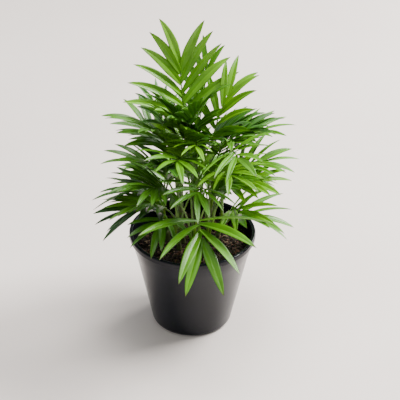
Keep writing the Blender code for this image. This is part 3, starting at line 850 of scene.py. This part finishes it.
def leaflet_line(frond, points, place, rng, wide=1.0):
    """A finer leaflet on the path of the source's leaflet."""
    path, ways, upper = leaflet_path(frond, points, *place)
    half = frond.leaflet * MM * BLADE_HALF_WIDTH * wide * rng.uniform(*BLADE_WIDTH_RANGE)
    roll = math.radians(rng.uniform(-BLADE_ROLL, BLADE_ROLL))
    twist = math.radians(rng.uniform(-BLADE_ROLL, BLADE_ROLL))
    facings = []
    for k, way in enumerate(ways):
        across = way.cross(upper).normalized()
        above = across.cross(way)
        facings.append(Matrix.Rotation(roll + twist * k / LEAFLET_STEPS, 3, way) @ above)
    alongs = [k / LEAFLET_STEPS for k in range(LEAFLET_STEPS + 1)]
    sizes = [max(BLADE_LEAST, half * blade_width(along)) for along in alongs]
    return Line(path, sizes, facings, alongs)


def extra_places(places):
    """Further leaflets, halfway between two on one side of the rib, with the mean of their changes."""
    extra = []
    for hand in (-1, 1):
        side = [place for place in places if place[1] == hand]
        for (low, _, first), (high, _, second) in zip(side, side[1:]):
            swing, lift, share = ((a + b) / 2 for a, b in zip(first, second))
            extra.append(((low + high) / 2, hand, (swing, lift, share * EXTRA_LENGTH)))
    return extra


def rib_line(frond, points):
    """The stalk from its sheath on the cane, and the rib up to its tip."""
    cane = cane_path(SEEDLINGS[frond.seedling])
    way = (cane[-1] - cane[1]).normalized()
    joint = cane[-1] if frond.start == 1 else cane[1].lerp(cane[-1], frond.start)
    low = joint - way * SHEATH_LENGTH
    bend = (joint - way * SHEATH_LENGTH * SHEATH_BEND).lerp(points[0], SHEATH_LEAN)
    path = [low, low.lerp(bend, 0.5), bend] + points
    sizes = [STALK_BASE_RADIUS * share for share in SHEATH_SHARES]
    facings = [frame_at(frond, 0)[2]] * len(SHEATH_SHARES)
    for k in range(RIB_STEPS + 1):
        swell = STALK_SWELL * max(0, 1 - STALK_SWELL_FALL * k / RIB_STEPS)
        sizes.append(rib_radius(k / RIB_STEPS) * (1 + swell))
        facings.append(frame_at(frond, k / RIB_STEPS)[2])
    return Line(path, sizes, facings, [k / len(path) for k in range(len(path))])


def cane_line(seedling):
    """A cane wrapped in leaf bases, each a little wider at its top edge."""
    path = cane_path(seedling)
    length = (path[-1] - path[0]).length
    rings = max(2, round(length / SHEATH_STEP))
    way = (path[-1] - path[1]).normalized()
    side = way.cross(Vector((0, 1, 0))).normalized()
    last = CANE_STATIONS - 2
    points, sizes, alongs = [], [], []
    for ring in range(rings):
        for k in range(CANE_STATIONS):
            share = (ring + min(k / last, 1.0)) / rings
            points.append(path[1].lerp(path[-1], share) - UP * (1 - share) * CANE_FOOT_HEIGHT)
            flare = SHEATH_FLARE * (k / last) ** 2 if k <= last else 0
            foot = (CANE_FOOT_RADIUS / CANE_RADIUS - 1) * max(0, 1 - CANE_FOOT_FALL * share)
            sizes.append(CANE_RADIUS * (CANE_SHARE - CANE_NARROWING * share + flare + foot))
            alongs.append(share)
    for k in range(1, len(points)):
        if (points[k] - points[k - 1]).length < LEAST_STEP:
            points[k] = points[k] + way * STEP_APART
    return Line(points, sizes, [side] * len(points), alongs)


def shader_of(name):
    """A new material, its node tree and its shader."""
    made = bpy.data.materials.new(name)
    made.use_nodes = True
    return made, made.node_tree, made.node_tree.nodes["Principled BSDF"]


def ramp(tree, factor, stops):
    """A colour ramp on a factor, with its stops as (place, colour)."""
    made = tree.nodes.new("ShaderNodeValToRGB")
    while len(made.color_ramp.elements) < len(stops):
        made.color_ramp.elements.new(0.5)
    for element, (place, colour) in zip(made.color_ramp.elements, stops):
        element.position = place
        element.color = (*colour, 1)
    tree.links.new(factor, made.inputs["Fac"])
    return made.outputs["Color"]


def noise_on(tree, size, detail=3.0, stretch=(1, 1, 1)):
    """Noise on the object's own coordinates, with grains of about that size in metres."""
    place = tree.nodes.new("ShaderNodeTexCoord")
    mapping = tree.nodes.new("ShaderNodeMapping")
    mapping.inputs["Scale"].default_value = stretch
    made = tree.nodes.new("ShaderNodeTexNoise")
    made.inputs["Scale"].default_value = 1 / size
    made.inputs["Detail"].default_value = detail
    tree.links.new(place.outputs["Object"], mapping.inputs["Vector"])
    tree.links.new(mapping.outputs["Vector"], made.inputs["Vector"])
    return made.outputs["Fac"]


def bump(tree, shader, height, strength, distance):
    """Raises the surface by a height between 0 and 1, without changing its shape."""
    made = tree.nodes.new("ShaderNodeBump")
    made.inputs["Strength"].default_value = strength
    made.inputs["Distance"].default_value = distance
    tree.links.new(height, made.inputs["Height"])
    tree.links.new(made.outputs["Normal"], shader.inputs["Normal"])


def shaded(colour, factor):
    return tuple(min(1, part * factor) for part in colour)


def grey(value):
    return (value, value, value)


def mixed(tree, factor, first, second):
    """A colour that goes from the first, a socket, to the second, a plain colour, by a factor."""
    made = tree.nodes.new("ShaderNodeMix")
    made.data_type = "RGBA"
    made.inputs["B"].default_value = (*second, 1)
    tree.links.new(factor, made.inputs["Factor"])
    tree.links.new(first, made.inputs["A"])
    return made.outputs["Result"]


def leaf_material(name, colour):
    """A smooth leaf: fine veins along it, a paler midrib, a drier tip and slow changes of green."""
    made, tree, shader = shader_of(name)
    shader.inputs["Roughness"].default_value = LEAF_ROUGHNESS
    across = node_named(tree, "ShaderNodeAttribute", "Across", attribute_name="across")
    along = node_named(tree, "ShaderNodeAttribute", "Along", attribute_name="along")
    veins = node_named(tree, "ShaderNodeMath", "Veins", operation="PINGPONG")
    veins.inputs[1].default_value = VEIN_SPACING
    tree.links.new(across.outputs["Fac"], veins.inputs[0])
    distance = node_named(tree, "ShaderNodeMath", "From the midrib", operation="ABSOLUTE")
    tree.links.new(across.outputs["Fac"], distance.inputs[0])
    shades = [(0.3, shaded(colour, PATCH_SHADES[0])), (0.7, shaded(colour, PATCH_SHADES[1]))]
    patches = ramp(tree, noise_on(tree, PATCH_SIZE), shades)
    on_midrib = ramp(tree, distance.outputs["Value"], [(0.03, grey(MIDRIB_WEIGHT)), (0.2, grey(0))])
    on_tip = ramp(tree, along.outputs["Fac"], [(0.9, grey(0)), (0.99, grey(TIP_WEIGHT))])
    green = mixed(tree, on_midrib, patches, shaded(colour, MIDRIB_SHADE))
    tree.links.new(mixed(tree, on_tip, green, DRY_GREEN), shader.inputs["Base Color"])
    bump(tree, shader, veins.outputs["Value"], VEIN_RELIEF, VEIN_DEPTH)
    return made


def grained_material(name):
    """A finish of the table, its colour and relief both from one noise."""
    finish = FINISHES[name]
    made, tree, shader = shader_of(name)
    shader.inputs["Roughness"].default_value = finish.roughness
    grain = noise_on(tree, finish.size, 5, finish.stretch)
    colour = ramp(tree, grain, [(0.32, finish.dark), (0.68, finish.pale)])
    tree.links.new(colour, shader.inputs["Base Color"])
    bump(tree, shader, grain, finish.relief, finish.size / 4)
    return made


def pot_material():
    """Moulded black plastic with a soft gloss and a trace of dust."""
    made, tree, shader = shader_of("Black pot plastic")
    shader.inputs["Specular IOR Level"].default_value = POT_SPECULAR
    dust = noise_on(tree, DUST_SIZE, 6)
    colour = ramp(tree, dust, [(0.35, POT_COLOURS[0]), (0.75, POT_COLOURS[1])])
    tree.links.new(colour, shader.inputs["Base Color"])
    gloss = ramp(tree, dust, [(0.3, grey(POT_ROUGHNESS[0])), (0.8, grey(POT_ROUGHNESS[1]))])
    tree.links.new(gloss, shader.inputs["Roughness"])
    bump(tree, shader, noise_on(tree, MOULD_SIZE, 2), MOULD_RELIEF, MOULD_DEPTH)
    return made


def turned_mesh(name, profile, segments):
    """A closed solid of revolution about Z, from a profile that runs down its outer side."""
    mesh = bpy.data.meshes.new(name)
    mesh.from_pydata([(r, 0, z) for r, z in profile], [(k, k + 1) for k in range(len(profile) - 1)], [])
    made = put_in_scene(name, mesh)
    screw = made.modifiers.new("Turn", "SCREW")
    screw.axis = "Z"
    screw.steps = segments
    screw.render_steps = segments
    screw.use_merge_vertices = True
    screw.merge_threshold = 0.00001
    return made


def applied(thing):
    """The same object with its modifiers' result as its own mesh."""
    graph = bpy.context.evaluated_depsgraph_get()
    mesh = bpy.data.meshes.new_from_object(thing.evaluated_get(graph))
    thing.modifiers.clear()
    thing.data = mesh
    return thing


def smooth(thing, angle):
    """Smooth shading, with a crease where faces meet at more than an angle in degrees."""
    thing.data.polygons.foreach_set("use_smooth", [True] * len(thing.data.polygons))
    thing.data.set_sharp_from_angle(angle=math.radians(angle))


def make_pot():
    """The turned pot, with its drain holes cut through the floor."""
    pot = turned_mesh("nursery_pot", pot_profile(), POT_SEGMENTS)
    cutters = bpy.data.collections.new("Drain holes")
    bpy.context.scene.collection.children.link(cutters)
    for k in range(DRAIN_HOLES):
        place = polar(DRAIN_RING, 360 * (k + 0.5) / DRAIN_HOLES)
        bpy.ops.mesh.primitive_cylinder_add(
            vertices=HOLE_SIDES, radius=DRAIN_RADIUS, depth=4 * FLOOR, location=place)
        hole = bpy.context.object
        bpy.context.collection.objects.unlink(hole)
        cutters.objects.link(hole)
    cut = pot.modifiers.new("Drain holes", "BOOLEAN")
    cut.operation = "DIFFERENCE"
    cut.operand_type = "COLLECTION"
    cut.collection = cutters
    cut.solver = "EXACT"
    applied(pot)
    remove(*cutters.objects)
    bpy.data.collections.remove(cutters)
    pot.data.materials.clear()
    pot.data.materials.append(pot_material())
    smooth(pot, POT_CREASE)
    return pot


def soil_edge():
    """Radius of the mix at the pot's wall."""
    return body_radius(POT_HEIGHT - SOIL_BELOW_RIM - SOIL_FALL) - WALL - GAP


def make_soil():
    """The mix, with a lumpy top and plain sides inside the pot."""
    edge = soil_edge()
    radii = [edge * k / SOIL_RINGS for k in range(SOIL_RINGS + 1)]
    profile = [(radius, soil_height(radius)) for radius in radii]
    low = body_radius(BASE_CORNER) - WALL - BASE_CORNER
    profile += [(low, FLOOR + GAP), (0, FLOOR + GAP)]
    soil = applied(turned_mesh("potting_mix_surface", profile, SOIL_SEGMENTS))
    for vertex in soil.data.vertices:
        radius = vertex.co.xy.length
        if vertex.co.z > SOIL_TOP and radius < edge - SOIL_SMOOTH_EDGE:
            lump = noise.fractal(vertex.co / SOIL_BUMP_SIZE, 0.8, 2.0, 4)
            vertex.co.z += SOIL_BUMP * lump
    soil.data.materials.append(grained_material("Potting mix"))
    smooth(soil, SOIL_CREASE)
    return soil


def crumb(name, rng, flat):
    """A small lump of mix, or a flatter chip of husk, a metre across before it is scaled."""
    bpy.ops.mesh.primitive_ico_sphere_add(subdivisions=2, radius=0.5)
    made = bpy.context.object
    made.name = name
    for vertex in made.data.vertices:
        shift = Vector((rng.random() * 9, 0, 0))
        vertex.co *= 1 + GRAIN_ROUGHNESS * noise.noise(vertex.co * GRAIN_LUMPS + shift)
        vertex.co.z *= flat
        vertex.co.y *= GRAIN_NARROWING
    return made


def fibre(name):
    """A thin bent strand, a metre long before it is scaled."""
    points = []
    for k in range(FIBRE_STEPS + 1):
        sway = FIBRE_SWAY * math.sin(k * FIBRE_SWAY_TURN)
        lift = FIBRE_LIFT * math.sin(k * FIBRE_LIFT_TURN)
        points.append(Vector((k / FIBRE_STEPS - 0.5, sway, lift)))
    count = len(points)
    alongs = [k / FIBRE_STEPS for k in range(count)]
    return lines_object(name, [Line(points, [FIBRE_THICKNESS] * count, [UP] * count, alongs)])


def strew(soil, tree, sweep, ring):
    """Crumbs, chips and fibres on the mix, each at least half its length and a ring from the pot's wall."""
    rng = random.Random(LOOSE_SEED)
    edge = soil_edge() * (1 - 1 / SOIL_RINGS)
    strand_line = fibre("strand_line")
    shapes = {
        "mix_crumbs": crumb("crumb", rng, CRUMB_FLATNESS),
        "husk_chips": crumb("chip", rng, CHIP_FLATNESS),
        "husk_fibres": made_plain("strand", strand_line, sweep, {"Section": ring, "Material": None}),
    }
    pieces = []
    for k, (name, grain) in enumerate(GRAINS.items()):
        values = {
            "Grain": shapes[name],
            "Density": float(grain.density),
            "Smallest": grain.smallest * MM,
            "Largest": grain.largest * MM,
            "Tilt": grain.tilt,
            "Seed": LOOSE_SEED + k,
            "Reach": edge - grain.largest * MM / 2,
            "Material": grained_material(name.replace("_", " ").capitalize()),
        }
        pieces.append(made_plain(name, soil, tree, values))
    remove(strand_line, *shapes.values())
    return pieces


def make_floor():
    bpy.ops.mesh.primitive_plane_add(size=FLOOR_SIZE)
    floor = bpy.context.object
    floor.name = "floor"
    floor.data.materials.append(grained_material("Pale floor"))


def light_room():
    """A cool, even sky and soft lamps that look at the plant."""
    world = bpy.data.worlds.new("Room")
    bpy.context.scene.world = world
    world.use_nodes = True
    sky = world.node_tree.nodes["Background"]
    sky.inputs["Color"].default_value = SKY_COLOUR
    sky.inputs["Strength"].default_value = SKY_STRENGTH
    for name, lamp in LAMPS.items():
        data = bpy.data.lights.new(name, "AREA")
        data.shape = "RECTANGLE"
        data.size = lamp.width
        data.size_y = lamp.height
        data.energy = lamp.power
        made = put_in_scene(name, data)
        made.location = lamp.place
        made.rotation_euler = (LAMP_AIM - Vector(lamp.place)).to_track_quat("-Z", "Y").to_euler()


def place_camera():
    """The camera before the plant, pitched down to it and rolled a little."""
    data = bpy.data.cameras.new("camera")
    data.lens = CAMERA_LENS
    camera = put_in_scene("camera", data)
    forward = Vector((0, math.cos(CAMERA_PITCH), -math.sin(CAMERA_PITCH)))
    right = Vector((1, 0, 0))
    up = right.cross(forward)
    across = right * math.cos(CAMERA_ROLL) + up * math.sin(CAMERA_ROLL)
    upward = up * math.cos(CAMERA_ROLL) - right * math.sin(CAMERA_ROLL)
    turn = Matrix((across, upward, -forward)).transposed().to_4x4()
    camera.matrix_world = Matrix.Translation(CAMERA_PLACE) @ turn
    bpy.context.scene.camera = camera


def dress(piece, slot, *nodes):
    """Puts a piece on the part's one body and hides the solids that it stands in for. The slot is not used.
    """
    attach(piece, "root")
    if nodes:
        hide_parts(*nodes)


def make_foliage(sweep, ring):
    """All leaflets by tone, and all stalks and ribs."""
    plant = grow_plant()
    rng = random.Random(SEED)
    section = blade_section()
    lines = {tone: [] for tone in TONES}
    nodes = {tone: [] for tone in TONES}
    ribs = []
    for name, (frond, points, places) in plant.items():
        tone = FROND_TONES.get(name) or rng.choice(OTHER_TONES)
        nodes[tone].append(f"frond_{name}")
        lines[tone] += [leaflet_line(frond, points, place, rng) for place in places]
        if name not in FRONDS:
            extra = extra_places(places)
            lines[tone] += [leaflet_line(frond, points, place, rng, EXTRA_WIDTH) for place in extra]
        ribs.append(rib_line(frond, points))
    for tone, found in lines.items():
        source = lines_object(f"{tone}_lines", found)
        values = {"Section": section, "Material": leaf_material(f"Leaf {tone}", TONES[tone])}
        dress(made_plain(f"leaflets_{tone}", source, sweep, values), "frond", *nodes[tone])
        remove(source)
    source = lines_object("rib_lines", ribs)
    values = {"Section": ring, "Material": grained_material("Stalk green")}
    dress(made_plain("stalks_and_ribs", source, sweep, values), "frond")
    remove(source, section)


def make_canes(sweep):
    """The ten canes as one piece."""
    ring = round_section("cane_section", CANE_SIDES)
    source = lines_object("cane_lines", [cane_line(seedling) for seedling in SEEDLINGS.values()])
    values = {"Section": ring, "Material": grained_material("Cane sheath")}
    nodes = [f"cane_{name}" for name in SEEDLINGS]
    dress(made_plain("canes", source, sweep, values), "cane", *nodes)
    remove(source, ring)


def main():
    sweep = sweep_tree()
    ring = round_section("rib_section", RIB_SIDES)
    make_foliage(sweep, ring)
    make_canes(sweep)
    dress(make_pot(), "pot_plastic", "pot")
    soil = make_soil()
    loose = strew(soil, scatter_tree(), sweep, ring)
    dress(soil, "potting_mix", "potting_mix")
    for piece in loose:
        dress(piece, "potting_mix")
    remove(ring)
    make_floor()
    light_room()
    place_camera()


main()
